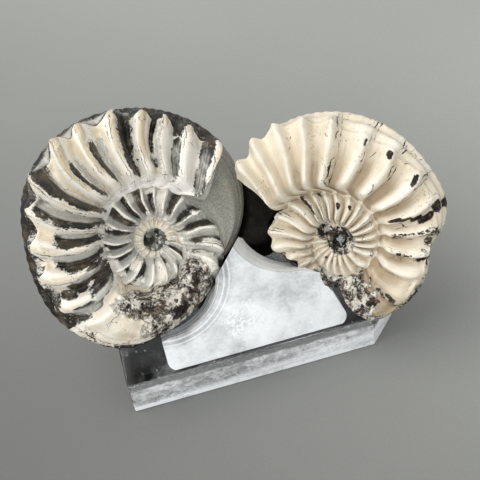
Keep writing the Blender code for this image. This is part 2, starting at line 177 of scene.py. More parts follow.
# Ribs counted back from the last one, against rows of the mesh counted the same way
LEFT_COUNT = ((-6, -6), (20, 20), (22.6, 22), (25.3, 24), (30.3, 28), (33, 30), (36.1, 33),
              (45, 40), (80, 67))
RIGHT_COUNT = ((-6, -6), (80, 80))

# How far the ribs stand out as knobs at the shoulder, as (rib number, share)
LEFT_KNOBS = ((0, 1), (12, 1), (14, 0.6), (70, 0.6))
RIGHT_KNOBS = ((0, 1), (5, 1), (7, 0.45), (16, 0.35), (18, 0.6), (70, 0.6))

# Hollows of the left shell where the dark mould shows, as (first rib, last rib, low, high, depth)
LEFT_HOLLOWS = (
    (1.18, 1.5, 0.14, 0.6, 1), (1.16, 1.46, 0.5, 1.1, 1), (2.12, 2.55, 0.84, 1.24, 0.9),
    (2.2, 2.5, 0.14, 0.88, 0.9), (3.36, 3.62, 0.5, 1.2, 1), (3.3, 3.9, 0.28, 0.46, 0.5),
    (3.06, 3.36, 0.15, 1.05, 0.5), (4.36, 4.92, 0.42, 1.2, 1), (4.45, 5, 0.16, 0.52, 0.95),
    (5.68, 5.98, 0.18, 0.82, 1), (5.34, 5.72, 0.2, 0.86, 0.62), (6.6, 6.96, 0.18, 0.42, 0.95),
    (6.76, 6.96, 0.36, 0.76, 1), (6.42, 6.76, 0.34, 0.84, 0.6), (7.54, 8.04, 0.06, 0.64, 1),
    (7.54, 8.04, 0.5, 1.12, 1), (8.33, 9.12, 0.03, 0.84, 1), (8.3, 9.1, 0.72, 0.98, 1),
    (9.34, 9.9, 0.04, 0.76, 1), (10.1, 10.82, 0.02, 0.84, 1), (10.76, 11.04, 0.02, 0.4, 0.95),
    (10.96, 11.45, -0.04, 0.62, 1), (11.15, 11.62, 0.5, 0.8, 1), (11.4, 11.72, 0.72, 1, 0.9),
    (11.36, 12.2, -0.3, 0.56, 1), (11.92, 12.42, 0.46, 0.9, 1), (12.14, 12.64, 0.82, 1.3, 1),
)

# Dark holes in the crumbled part of the left shell, in the same way
LEFT_HOLES = (
    (15.3, 16.6, 0.6, 1.02, 0.66), (13.6, 14.6, 0.16, 0.44, 0.5), (16.4, 17.8, 0.3, 0.8, 0.52),
    (14.8, 15.6, 0.8, 1.25, 0.5), (12.9, 13.3, 1.02, 1.6, 0.5), (13.3, 15.5, 1.25, 1.7, 0.6),
)

# Tan in the crests of the left shell, as (rib number, share)
LEFT_TAN = ((1, 0.05), (2, 0.15), (3, 0.55), (4, 0.8), (5, 0.6), (6, 0.85), (7, 0.85), (8, 0.6),
            (9, 0.15), (11, 0.25), (13, 0.3))

# White and painted light on the left shell beside the seam, as (rib number, share)
LEFT_SEAM_WHITE_AND_LIGHT = ((0, 1.35), (5, 1.35), (8, 0.5), (12.4, 0.5), (12.5, 0))

# Edge of the grey rock past the left shell's last rib, as (place over the flank, rib number)
LEFT_FILL_EDGE = ((0.1, 1.22), (0.25, 1.16), (0.65, 1.02), (0.95, 0.78))

# Pale grey film and painted highlight on the left mould, as (first rib, last rib, low, high, depth)
LEFT_FILM_AND_HIGHLIGHT = (
    (1.18, 1.48, 0.1, 0.9, 0.6), (2.2, 2.5, 0.1, 0.8, 0.6), (3.06, 3.36, 0.1, 1, 0.9),
    (5.34, 5.72, 0.2, 0.88, 1), (6.4, 6.76, 0.2, 0.88, 1), (7.46, 7.66, 0.1, 0.95, 0.9),
    (8.33, 8.78, 0.05, 1, 1), (9.34, 9.56, 0.05, 0.74, 0.9), (10.1, 10.44, 0.05, 0.85, 1),
    (10.96, 11.22, 0.1, 0.8, 0.8), (11.86, 12.2, 0.05, 0.6, 0.95), (12, 12.46, 0.5, 1, 0.8),
    (4.2, 8.6, 1.06, 1.4, 0.8),
)

# Cream places on the dark inner whorls of the left shell, in the same way
LEFT_FLAKES = (
    (24.9, 26.15, 0.18, 1.02, 1), (27.2, 28.2, -0.2, 0.28, 0.9), (19.9, 20.5, 0.42, 0.98, 0.9),
    (37.5, 38.5, 0.15, 1.02, 0.95), (39.9, 40.7, 0.1, 0.8, 0.95), (35.2, 36, 0.1, 0.6, 0.8),
    (18.4, 19.5, 0.1, 1.2, 0.75), (34.2, 35.8, 0.7, 1.02, 0.8), (38.4, 39.5, 0.3, 1.02, 0.8),
    (26.6, 27.5, 0.8, 1, 0.6), (39.8, 40.8, 0.6, 0.95, 0.6), (22.3, 22.9, 0.7, 1, 0.5),
    (28.5, 29.2, 0.7, 0.98, 0.6), (36.3, 37, 0.62, 1.02, 0.6), (20.9, 21.35, 0.08, 0.45, 0.9),
    (31.6, 32.2, 0.75, 1, 0.5), (33.4, 34.2, 0.84, 1.04, 0.7), (24, 24.6, -0.2, 0.22, 0.7),
)

# Gashes and holes of the right shell that show the dark inside, in the same way
RIGHT_GASHES = (
    (8.8, 9.06, 0.22, 0.46, 0.85), (8.96, 9.18, 0.4, 0.62, 0.8), (9.14, 9.38, 0.56, 0.78, 0.82),
    (9.32, 9.6, 0.72, 0.98, 0.9), (9.06, 9.48, 0.92, 1.26, 0.6), (9.12, 9.48, 1.34, 1.75, 0.8),
    (9.84, 10.02, 0.3, 0.95, 0.55), (10, 10.3, 0.26, 0.44, 0.55), (9.95, 10.6, 0.84, 1.1, 0.55),
    (5.96, 6.08, 0.86, 0.97, 0.65), (6.8, 7.06, 0.86, 0.98, 0.75), (7.84, 8.02, 0.8, 0.98, 0.9),
    (24.75, 25.2, 0.42, 1.02, 0.75), (27.85, 28.2, 0.52, 0.74, 0.8), (28.9, 29.4, 0.66, 0.8, 0.65),
    (18.6, 20.6, 0.84, 1.4, 0.85), (10.9, 11.1, 0.24, 0.7, 0.55), (11.1, 11.4, 0.78, 1, 0.6),
    (1.5, 2, 1, 1.24, 0.5), (35.9, 36.8, 0.82, 1, 0.6), (26.2, 26.7, 0.86, 1.02, 0.45),
    (12.85, 13.1, 0.1, 1, 0.5), (13.3, 13.9, 0.46, 0.72, 0.55), (12.2, 14.4, 1.1, 1.7, 0.56),
    (10.4, 11.8, 1.02, 1.5, 0.54), (9.9, 10.5, 1, 1.6, 0.58),
)

# Brown and painted shade in the hollows of the right shell, as (rib number, share)
RIGHT_TAN = ((1, 0.45), (3, 0.55), (5, 0.75), (6, 0.95), (7, 1.1), (8, 1.25), (9, 0.5), (10, 0.7),
             (12, 1), (14, 0.9), (20, 0.8), (60, 0.8))

# Shape of the ribs and whorls: degrees of the growth angle, then shares of the tips' reach
RIB_BOW = 4.0
INNER_RIB_LEAD = 2.0
FLANK_HEIGHT = 0.26
SHOULDER_HEIGHT = 0.225
FLANK_RIB_RELIEF = 0.088
SHOULDER_RIB_RELIEF = 0.1
RIB_TIP_REACH = 0.055
SPINE = 0.011

# Shares of the shown side for the back, more relief inside, less height at the seam and past
# the last rib
BACK_HEIGHT = 0.75
BACK_REACH = 0.965
INNER_RELIEF = 0.45
SEAM_DEPTH = 0.26
FILL_DROP = 0.35

# Cream shell over the mould, and the distances from the centre between which ribs set in
SHELL_THICKNESS = 0.2 * MM
LEFT_HEART_RIM = (2.2 * MM, 4.2 * MM)
RIGHT_HEART_RIM = (3.0 * MM, 5.8 * MM)

# Rows and columns of the meshes
ROWS_PER_RIB = 20
LEFT_ROWS_PAST_LAST_RIB = 85
RIGHT_ROWS_PAST_LAST_RIB = 10
FLANK_COLUMNS = 32
BACK_COLUMNS = 6
KEEL_COLUMNS = 20

# Tools

def place_in_scene(name, data):
    """A new object in the scene with this data."""
    thing = bpy.data.objects.new(name, data)
    bpy.context.scene.collection.objects.link(thing)
    return thing


def only(piece):
    """Leave this piece alone selected and active."""
    bpy.ops.object.select_all(action="DESELECT")
    piece.select_set(True)
    bpy.context.view_layer.objects.active = piece


def edit_all(piece, tool, **settings):
    """Use a mesh tool on the whole of this piece, in edit mode."""
    only(piece)
    bpy.ops.object.mode_set(mode="EDIT")
    bpy.ops.mesh.select_all(action="SELECT")
    tool(**settings)
    bpy.ops.object.mode_set(mode="OBJECT")


def modify(piece, kind, **settings):
    """Add a modifier with these settings to this piece, and apply it."""
    only(piece)
    modifier = piece.modifiers.new(kind.lower(), kind)
    for key, value in settings.items():
        setattr(modifier, key, value)
    bpy.ops.object.modifier_apply(modifier=modifier.name)


# Shapes of the shells

def smooth_through(points, at):
    """Cubic through (x, y) points, with slopes from each point's neighbours."""
    xs, ys = np.array(points, float).T
    steps = np.diff(xs)
    rises = np.diff(ys) / steps
    slopes = np.empty_like(ys)
    slopes[1:-1] = (rises[:-1] * steps[1:] + rises[1:] * steps[:-1]) / (steps[1:] + steps[:-1])
    slopes[0], slopes[-1] = rises[0], rises[-1]
    at = np.clip(at, xs[0], xs[-1])
    i = np.clip(np.searchsorted(xs, at, side="right") - 1, 0, len(xs) - 2)
    u = (at - xs[i]) / steps[i]
    rest = 1 - u
    return (ys[i] * rest * rest * (1 + 2 * u) + ys[i + 1] * u * u * (3 - 2 * u)
            + slopes[i] * steps[i] * u * rest * rest - slopes[i + 1] * steps[i] * u * u * rest)


def ease(low, high, value):
    """0 at low, 1 at high, with a soft way between and nothing past them."""
    u = np.clip((value - low) / (high - low), 0, 1)
    return u * u * (3 - 2 * u)


def lumps(points, size, seed=0):
    """Soft random values from -1 to 1 at points, with lumps of the given size."""
    cells = np.asarray(points) / size + seed * 17.31
    low = np.floor(cells).astype(np.int64)
    part = cells - low
    part = part * part * (3 - 2 * part)
    total = 0.0
    for corner in range(8):
        step = np.array([corner & 1, corner >> 1 & 1, corner >> 2])
        key = ((low + step) * np.array([73856093, 19349663, 83492791])).sum(-1)
        key = (key ^ (key >> 13)) * 1274126177 % 2147483647
        value = (key % 100003) / 50001.0 - 1.0
        weight = np.where(step == 1, part, 1 - part).prod(-1)
        total = total + value * weight
    return total


def jitter(seed, along, across=0.0):
    """Soft random values from -1 to 1 over rib numbers, or over them and columns."""
    return lumps(np.stack(np.broadcast_arrays(along, across, 0.0), -1), 1.0, seed)


def look_up(table, at):
    """Values at some places, straight between the points of a table."""
    return np.interp(at, *np.array(table, float).T)


def shell_axes(facing):
    """Right and up directions in the shell's plane, and the normal of its shown face."""
    turn, rise = (math.radians(angle) for angle in facing)
    normal = Vector((math.sin(turn) * math.cos(rise), -math.cos(turn) * math.cos(rise),
                     math.sin(rise)))
    right = Vector((0, 0, 1)).cross(normal).normalized()
    return right, normal.cross(right), normal


def soft_spot(rib, across, box):
    """1 in the middle of a rounded patch of the flank, falling softly past its border."""
    first, last, low, high = box
    along = np.abs(rib - (first + last) / 2) / ((last - first) / 2)
    over = np.abs(across - (low + high) / 2) / ((high - low) / 2)
    return ease(1.45, 0.55, (along ** 2.6 + over ** 3.0) ** 0.36)


def soft_box(rib, across, box, edge=0.12, side=0.07):
    """1 inside a patch of the flank, given as (first rib, last rib, low, high), 0 outside."""
    first, last, low, high = box
    return (ease(first - edge, first + edge, rib)
            * (1 - ease(last - edge, last + edge, rib))
            * ease(low - side, low + side, across)
            * (1 - ease(high - side, high + side, across)))


class Ammonite:
    """A coiled shell whose whorls share the seam where one rests on the other.

    What it holds for the rows of its mesh is kept as columns.
    """

    def __init__(self, centre, facing, winding, reach, keel, ribs, rows_past, strength, section,
                 count, knobs, heart_rim, filled):
        self.centre = np.array(centre)
        self.axes = np.array([list(axis) for axis in shell_axes(facing)])
        self.winding = winding
        self.heart_rim = heart_rim
        self.rows_per_turn = ROWS_PER_RIB * len(ribs)
        turns = int(ribs[-1][0] // 360) + 1
        tips = [(tip + 360 * turn, INNER_RIB_LEAD if turn else lead)
                for turn in range(-turns, 2) for tip, lead in ribs]
        tips = np.array([(tip, lead) for tip, lead in tips if tip > 0], float)
        last_crest = int(np.argmin(np.abs(tips[:, 0] - ribs[-1][0])))
        self.count = last_crest * ROWS_PER_RIB + rows_past + 1
        rows = np.arange(self.count)[:, None]
        crests = np.arange(len(tips)) * ROWS_PER_RIB
        self.angle = smooth_through(np.stack([crests, tips[:, 0]], 1), rows)
        self.lead = np.interp(rows, crests, tips[:, 1])
        self.number = last_crest + 1 - rows / ROWS_PER_RIB
        self.ribbing = look_up(count, self.number)
        self.hollow, self.narrow = (
            look_up(np.array(section, float)[:, (0, i)], self.number) for i in (1, 2))
        self.past = ease(0.96, 0.62, self.number) if filled else 0 * self.number
        self.buried = ease(10, -30, rows - (self.count - self.rows_per_turn))
        self.power = smooth_through(strength, self.number) * ease(30, 90, self.angle)
        uneven = 1 + 0.22 * jitter(0, np.round(self.ribbing) * 1.7)
        self.power = self.power * (1 - self.past) * uneven
        self.tip_reach = smooth_through(reach, self.angle) * MM
        self.knobs = look_up(knobs, self.number)
        ridge = self.ridge()
        spine = self.blade(0.2) * self.power * self.tip_reach * SPINE
        spine = spine * (1 - self.buried) * self.knobs
        chips = 0.012 * jitter(7, rows * 0.37) * self.knobs * ridge
        tips_only = 1 - RIB_TIP_REACH * (1 - ridge) * self.knobs + chips
        self.reach = self.tip_reach * tips_only + spine
        self.back_reach = self.tip_reach * (1 - 0.6 * RIB_TIP_REACH)
        self.keel = smooth_through(keel, self.angle) * MM
        self.shoulder = self.reach * SHOULDER_HEIGHT * (1 - FILL_DROP * self.past)
        self.shoulder = self.shoulder * (0.82 + 0.18 * ridge) * (1 - SEAM_DEPTH * self.buried)
        turn = np.zeros((self.rows_per_turn, 1))
        self.inner, self.inner_height = (np.concatenate([turn, values])[:self.count]
                                         for values in (self.reach, self.shoulder))

    def blade(self, width):
        """1 along each crest, falling off within a share of the way to the next rib."""
        offset = self.ribbing - np.round(self.ribbing)
        return np.exp(-(offset / width) ** 4)

    def ridge(self):
        """Height of the ribbing: 1 on a crest, falling to 0 in the hollow between ribs."""
        part = self.ribbing - np.floor(self.ribbing)
        fall = 0.5 + 0.5 * np.cos(math.pi * np.clip(part / self.hollow, 0, 1))
        rise = np.clip((part - self.hollow) / (1 - self.hollow), 0, 1)
        rise = 0.5 - 0.5 * np.cos(math.pi * rise)
        return np.where(part < self.hollow, fall, rise) ** self.narrow * self.power

    def flank(self, s):
        """Angle, distance and height over rows and columns, from seam (0) to shoulder (1)."""
        sweep = self.lead * (1 - s) - RIB_BOW * np.sin(math.pi * s)
        sweep = (sweep + jitter(4, self.number * 0.8, s * 2.6)) * ease(0.0, 0.16, s)
        start, tip = self.inner_height, self.tip_reach
        distance = self.inner + (self.reach - self.inner) * s
        top = tip * FLANK_HEIGHT * (1 - FILL_DROP * self.past)
        height = (start + (top - start) * ease(-0.04, 0.27, s)
                  - (top - self.shoulder) * ease(0.78, 1.04, s))
        relief = FLANK_RIB_RELIEF + (SHOULDER_RIB_RELIEF - FLANK_RIB_RELIEF) * s
        relief = relief * ease(-0.02, 0.16, s) * (1 - 0.8 * ease(0.9, 1.0, s))
        relief = relief * (1 + INNER_RELIEF * ease(15, 22, self.number))
        relief = relief * ease(*self.heart_rim, distance)
        height = height + tip * relief * (self.ridge() - 0.52 * self.power)
        knob = np.exp(-((s - 0.92) / 0.06) ** 2) * self.blade(0.18)
        height = height + tip * 0.014 * knob * (self.power * self.knobs)
        return self.angle + sweep, distance, height

    def venter(self, c):
        """The outer wall, from the shown shoulder (0) over the keel to the other (1)."""
        edge = self.reach + (self.back_reach * BACK_REACH - self.reach) * ease(0.1, 0.95, c)
        middle = np.abs(c - 0.5)
        cord = np.cos(2 * math.pi * 3 * self.ribbing)
        plain = 1 - self.past
        groove = np.exp(-((middle - 0.13) / 0.05) ** 2) * plain
        shape = 0.62 * ease(0.5, 0.3, middle) - 0.03 * groove + 0.38 * ease(0.16, 0.0, middle)
        distance = edge + (self.keel - edge) * shape
        distance = distance + self.tip_reach * 0.003 * cord * ease(0.08, 0.0, middle) * plain
        distance = distance - self.tip_reach * 0.012 * (1 - self.ridge()) * ease(0.12, 0.4, middle)
        return self.angle + 0 * c, distance, self.shoulder * (1 - (1 + BACK_HEIGHT) * c)

    def place(self, angle, distance, height):
        """Positions from the angle round the coil, the distance and the height over its face."""
        polar = np.radians(angle * self.winding)
        right, up, normal = self.axes
        return (self.centre + (distance * np.cos(polar))[..., None] * right
                + (distance * np.sin(polar))[..., None] * up + height[..., None] * normal)


def shell_piece(name, shell, finish, material):
    """One closed surface with its rib coordinates as UV and its finish as corner values."""
    turn = shell.rows_per_turn
    points, sheets = [], []

    def strip(positions):
        """Keep these positions; returns their numbers in the mesh."""
        first = sum(len(part) for part in points)
        points.append(positions.reshape(-1, 3))
        return np.arange(first, first + len(points[-1])).reshape(positions.shape[:-1])

    spacing = np.linspace(0, 1, FLANK_COLUMNS + 1)
    front = spacing - 0.06 * np.sin(2 * math.pi * spacing)
    for across, side in ((front, 1), (np.linspace(0, 1, BACK_COLUMNS + 1), -1)):
        angle, distance, height = shell.flank(across)
        if side < 0:
            height = -height * BACK_HEIGHT
            rim = shell.back_reach * BACK_REACH / shell.reach - 1
            distance = distance * (1 + rim * ease(0.3, 1, across))
        positions = shell.place(angle, distance, height)
        values = finish.values(shell, positions, across)
        positions = positions + surface_relief(shell, finish, positions, values, across, side)
        centre = strip((shell.centre + shell.axes[2] * side * 0.3 * MM)[None, :])[0]
        grid = np.full(values.shape[:2], centre)
        grid[1:, 1:] = strip(positions[1:, 1:])
        grid[turn + 1:, 0] = grid[1:shell.count - turn, -1]
        sheets.append((grid, side, 0, across, values))
    shown, hidden = sheets[0][0], sheets[1][0]
    first = shell.count - 1 - turn
    over = np.linspace(0, 1, KEEL_COLUMNS + 1)
    positions = shell.place(*shell.venter(over))
    values = finish.values(shell, positions, 1 + over)
    positions = positions + surface_relief(shell, finish, positions, values, 1 + over, 1)
    outer = np.concatenate([shown[first:, -1:], strip(positions[first:, 1:-1]),
                            hidden[first:, -1:]], 1)
    sheets.append((outer, 1, first, 1 + over, values))

    corners, table = [], []
    offset = 0
    for grid, side, start, across, values in sheets:
        key = np.arange(grid.size).reshape(grid.shape) + offset
        offset += grid.size
        order = [(0, 0), (0, 1), (1, 1), (1, 0)][::side * shell.winding]
        rows, columns = grid.shape
        corners.append(np.stack([np.stack(
            [a[i:rows - 1 + i, j:columns - 1 + j].ravel() for i, j in order], 1)
            for a in (grid, key)], 2))
        place = np.broadcast_arrays(shell.ribbing[start:], across)
        table.append(np.dstack([*place, values[start:]]).reshape(grid.size, -1))
    corners = np.concatenate(corners)
    table = np.concatenate(table)
    same = corners[:, :, 0] == np.roll(corners[:, :, 0], -1, 1)
    faces = corners[~same.any(1)]
    partial = [quad[~drop] for quad, drop in zip(corners[same.any(1)], same[same.any(1)])]
    partial = [quad for quad in partial if len(set(quad[:, 0])) == 3]
    loops = faces[:, :, 0].tolist() + [face[:, 0].tolist() for face in partial]
    end = np.concatenate([shown[-1, :-1], outer[-1], hidden[-1, -2::-1], outer[0][-2:0:-1]])
    loops.append(end.tolist())
    keys = np.concatenate([faces[:, :, 1].ravel()] + [face[:, 1] for face in partial]
                          + [np.full(len(end), shown.size - 1)])

    mesh = bpy.data.meshes.new(name)
    mesh.from_pydata(np.concatenate(points).tolist(), [], loops)
    mesh.uv_layers.new(name="ribs")
    mesh.uv_layers["ribs"].data.foreach_set("uv", table[keys, :2].astype(np.float32).ravel())
    for layer, first in (("finish", 2), ("ground", 6)):
        colours = mesh.color_attributes.new(layer, "FLOAT_COLOR", "CORNER")
        picked = table[keys, first:first + 4].astype(np.float32)
        colours.data.foreach_set("color", picked.ravel())
    mesh.materials.append(material)
    piece = place_in_scene(name, mesh)
    edit_all(piece, bpy.ops.mesh.normals_make_consistent, inside=False)
    bpy.ops.object.shade_smooth()
    return piece


def patches(number, across, table):
    """The strongest of the soft patches of a table, each times its own weight."""
    total = 0 * number
    for *box, weight in table:
        total = np.maximum(total, weight * soft_spot(number, across, box))
    return total


def face_distance(shell, positions, spot):
    """Distance from a spot of the coil's face, given as right and up from its centre."""
    gap = positions - shell.centre
    return np.hypot(gap @ shell.axes[0] - spot[0], gap @ shell.axes[1] - spot[1])


class LeftFinish:
    """Where the dark mould of the left shell still carries cream shell."""

    heart = (2.2 * MM, 3.1 * MM)
    heart_shift = (-0.4 * MM, -0.3 * MM)
    bowl = 3.3 * MM
    crumbled = (
        (12.9, 18.8, 0.02, 0.6, 1.0), (14.3, 18.6, 0.4, 1.08, 1.0), (14.6, 18.4, 0.9, 1.5, 0.9),
        (13.6, 15.2, 1.08, 1.7, 0.45),
    )

    def values(self, shell, positions, across):
        number, s = np.broadcast_arrays(shell.number, across)
        part = shell.ribbing - np.floor(shell.ribbing)
        crest = np.where(number < 16.5, shell.blade(0.11), shell.blade(0.098))
        crest = crest * ease(0, 0.6, shell.power)
        last_whorl = ease(16.8, 15.8, number)
        innermost = ease(41.8, 43.4, number)
        cover = 0.98 - patches(number, s, LEFT_HOLLOWS)
        dark = 0.04 + 0.8 * crest * (0.6 + 0.4 * ease(0.2, 0.8, s))
        dark = np.maximum(dark, patches(number, s, LEFT_FLAKES))
        dark = np.maximum(dark, 0.5 * ease(0.12, 0.04, s))
        dark = np.maximum(dark, innermost * (0.8 + 0.25 * crest))
        cover = dark + (cover - dark) * last_whorl
        rim = np.exp(-(np.maximum(s - 1, 0) / 0.09) ** 2)
        low_edge = 0.2 * soft_box(number, s, (9.0, 12.8, 0.9, 1.25))
        cover = np.where(s > 1, (0.95 * crest + 0.15) * rim + low_edge, cover)
        cover = np.where((s > 1) & (number > 12.7) & (number < 15), 0.8, cover)
        heart_of_rib = shell.blade(0.16) * ease(0.25, 0.5, s)
        dots = shell.blade(0.12) * np.exp(-((s - 0.91) / 0.05) ** 2)
        tan = 0.1 + look_up(LEFT_TAN, number) * heart_of_rib * last_whorl
        tan += dots * (1 - last_whorl)
        tan += innermost * (0.3 - 0.3 * crest)
        tan += 0.35 * soft_box(number, s, (12.9, 14.4, 0.0, 0.4))
        tan += 0.4 * soft_box(number, s, (9.4, 9.9, 0.66, 0.95))
        edges = np.exp(-((np.abs(part - np.round(part)) - 0.2) / 0.06) ** 2)
        # Painted light: the wall beside the seam is whiter than the shell, most where it faces away
        # from the lamps
        pale = 0.35 + look_up(LEFT_SEAM_WHITE_AND_LIGHT, number) * ease(0.24, 0.08, s)
        pale += 0.45 * crest * innermost
        pale += 0.55 * edges * ease(13.2, 12.6, number)
        pale += 0.35 * soft_box(number, s, (1.3, 3.0, 0.0, 0.9))
        pale += 0.4 * (1 - last_whorl) * (1 - innermost)
        pale += 0.1 * soft_box(number, s, (12.7, 15.2, 0.2, 1.5))
        radius = face_distance(shell, positions, self.heart_shift)
        heart = ease(self.heart[1], self.heart[0], radius)
        rough = patches(number, s, self.crumbled)
        limit = look_up(LEFT_FILL_EDGE, s)
        fill = ease(limit + 0.05, limit - 0.05, number)
        cover = cover * (1 - fill) * (1 - heart)
        uneven = jitter(11, number * 0.9, s * 1.2)
        # Painted light and shade on the inner whorls: each hollow pale on one side and dark on the
        # other, over a real film
        inner_film_and_shade = 0.84 - (0.85 + 0.6 * uneven) * np.exp(-((part - 0.28) / 0.21) ** 2)
        inner_film_and_shade += 0.45 * ease(0.7, 0.98, part)
        inner_film_and_shade += 0.6 * ease(0.32, 0.12, s)
        # Pale film on the last whorl, partly a painted highlight on the lit slopes of the hollows
        light = patches(number, s, LEFT_FILM_AND_HIGHLIGHT)
        light = light + (inner_film_and_shade - light) * (1 - last_whorl)
        hurt = patches(number, s, LEFT_HOLES)
        return np.stack([cover, np.clip(tan, 0, 1), rough, np.clip(pale, 0, 1.6),
                         fill, heart, light * (1 - fill) * (1 - heart), hurt], -1)


class RightFinish:
    """The right shell is cream nearly all over, with gashes, tan hollows partly of painted shade,
    and a broken end.
    """

    heart = (1.3 * MM, 1.9 * MM)
    heart_shift = (0.35 * MM, -0.2 * MM)
    bowl = 3.5 * MM
    ring = (0.9 * MM, 0.1 * MM)
    crust = (-2.9 * MM, 1.9 * MM)
    # Painted highlight: a pale kite on the dark heart, where a crystal face catches the light
    glint = (0.5 * MM, -0.2 * MM)
    glint_reach = (0.95 * MM, 1.5 * MM)
    crumbled = (
        (13.3, 17.8, -0.6, 0.9, 1.0), (13.9, 17.8, 0.4, 1.9, 1.0), (12.2, 14.2, 1.04, 1.6, 0.7),
        (10.5, 11.2, 0.8, 1.1, 0.45),
    )

    def values(self, shell, positions, across):
        number, s = np.broadcast_arrays(shell.number, across)
        ridge = np.clip(shell.ridge(), 0, 1) + 0 * s
        cover = 1.05 - 0.11 * ease(3.6, 5.4, number)
        # Painted shade: brown in the hollows on the shaded side of each crest and by the seam, over
        # the shell's own tan
        tan = 0.06 + look_up(RIGHT_TAN, number) * (1 - ridge) ** 1.4 * ease(1.15, 0.3, s)
        tan += 0.5 * ease(0.12, 0.03, s)
        tan += 0.6 * soft_box(number, s, (12.8, 14.4, 0.1, 1.3))
        tan += 0.2 * ease(24, 34, number)
        pale = 0.05 + 0.45 * ridge
        radius = face_distance(shell, positions, self.heart_shift)
        heart = ease(self.heart[1], self.heart[0], radius)
        right, up, _ = shell.axes
        gap = positions - shell.centre
        away = (np.abs(gap @ right - self.glint[0]) / self.glint_reach[0]
                + np.abs(gap @ up - self.glint[1]) / self.glint_reach[1])
        glint = ease(1.1, 0.8, away) * heart
        crust = ease(2.5 * MM, 1.4 * MM, face_distance(shell, positions, self.crust))
        ring = face_distance(shell, positions, self.ring)
        crust = np.maximum(crust, ease(self.bowl + 0.2 * MM, self.bowl - 0.5 * MM, ring))
        rough = np.maximum(patches(number, s, self.crumbled), crust)
        hurt = np.maximum(patches(number, s, RIGHT_GASHES), 0.52 * crust)
        cover = cover * (1 - heart)
        return np.stack([cover, np.clip(tan, 0, 1), rough, np.clip(pale, 0, 1),
                         0 * s, heart, glint, hurt], -1)


def surface_relief(shell, finish, positions, values, across, side):
    """Small shifts along the shell's normal: crumbled zone, gashes, bowl at the heart."""
    rough, heart, hurt = values[..., 2], values[..., 5], values[..., 7]
    coarse = lumps(positions, 1.9 * MM, 1) + 0.8 * lumps(positions, 0.9 * MM, 2)
    radius = face_distance(shell, positions, finish.heart_shift)
    bowl = ease(finish.bowl * 1.05, finish.bowl * 0.35, radius)
    height = rough * (coarse * 1.05 - 0.6) + lumps(positions, 1.2 * MM, 3) * 0.05
    height += lumps(positions, 4.0 * MM, 5) * 0.08 - 0.9 * ease(0.45, 0.85, hurt)
    height += SHELL_THICKNESS / MM * ease(0.35, 0.65, values[..., 0])
    height += (heart * coarse * 0.3 - bowl * 1.2) * (side > 0)
    softened = np.where(across > 1.0, 0.35, 1.0)
    return (height * MM * side * softened)[..., None] * shell.axes[2]


# Materials

class Value:
    """A node's output, which takes part in sums and products as a number does."""

    def __init__(self, socket):
        self.socket = socket
        self.tree = socket.id_data

    def math(self, operation, *others, **settings):
        inputs = enumerate((self, *others))
        return add(self.tree, "ShaderNodeMath", inputs, operation=operation, **settings)

    __add__ = partialmethod(math, "ADD")
    __sub__ = partialmethod(math, "SUBTRACT")
    __mul__ = partialmethod(math, "MULTIPLY")
    __lt__ = partialmethod(math, "LESS_THAN")
    __abs__ = partialmethod(math, "ABSOLUTE")
    most = partialmethod(math, "MAXIMUM")
    least = partialmethod(math, "MINIMUM")


def feed(socket, value):
    """Join a node's output to a socket, or set the socket to a number, vector or colour."""
    if isinstance(value, Value):
        value.tree.links.new(value.socket, socket)
    elif socket.type == "RGBA":
        socket.default_value = (*value, 1.0)
    else:
        socket.default_value = value


def add_node(tree, kind, inputs=(), **settings):
    """A new node with its settings made and its inputs fed, as (name or number, value)."""
    node = tree.nodes.new(kind)
    for key, value in settings.items():
        setattr(node, key, value)
    for key, value in inputs:
        feed(node.inputs[key], value)
    return node


def add(tree, kind, inputs=(), output=0, **settings):
    """One output of a new node."""
    return Value(add_node(tree, kind, inputs, **settings).outputs[output])


def outputs(node):
    return [Value(socket) for socket in node.outputs]


def blend(*pairs):
    """Sum of (value, weight) pairs, each value taken from its middle at 0.5."""
    first, *rest = [value.math("MULTIPLY_ADD", weight, -0.5 * weight) for value, weight in pairs]
    return sum(rest, first)


def ramp(value, low, high, to_low=0.0, to_high=1.0):
    """A soft way from one value to another while the input goes from low to high."""
    return add(value.tree, "ShaderNodeMapRange", (
        ("Value", value), ("From Min", low), ("From Max", high), ("To Min", to_low),
        ("To Max", to_high)), "Result", interpolation_type="SMOOTHSTEP")


def near(value, middle, outer, inner, amount=1.0):
    """The amount within the inner distance of a value, and 0 past the outer one."""
    return ramp(abs(value - middle), outer, inner, 0.0, amount)


def mix(factor, a, b):
    inputs = ((0, factor), (6, a), (7, b))
    return add(factor.tree, "ShaderNodeMix", inputs, 2, data_type="RGBA")


def layered(colour, *layers):
    """A colour with others laid over it in turn, as (mask, colour)."""
    for mask, over in layers:
        colour = mix(mask, colour, over)
    return colour


def noise(where, scale, detail, roughness=0.6, distortion=0.0):
    return add(where.tree, "ShaderNodeTexNoise", (
        ("Vector", where), ("Scale", scale), ("Detail", detail), ("Roughness", roughness),
        ("Distortion", distortion)), "Fac")


def cells(where, scale, feature="F1", output="Distance"):
    inputs = (("Vector", where), ("Scale", scale))
    return add(where.tree, "ShaderNodeTexVoronoi", inputs, output, feature=feature)


def vectors(operation, *values, output="Vector"):
    return add(values[0].tree, "ShaderNodeVectorMath", enumerate(values), output,
               operation=operation)


def rib_noise(ribs, along, across, detail=3.0, roughness=0.6):
    """Streaks in rib coordinates, with so many along and across a rib."""
    return noise(vectors("MULTIPLY", ribs, (along, across, 1.0)), 1.0, detail, roughness)


def off_axis(where, middle, axis):
    """Distance from a line through a point."""
    across = vectors("CROSS_PRODUCT", vectors("SUBTRACT", where, middle), axis)
    return vectors("LENGTH", across, output="Value")


def past_plane(where, point, outward):
    """Distance past a plane, given by a point on it and its normal."""
    return vectors("DOT_PRODUCT", vectors("SUBTRACT", where, point), outward, output="Value")


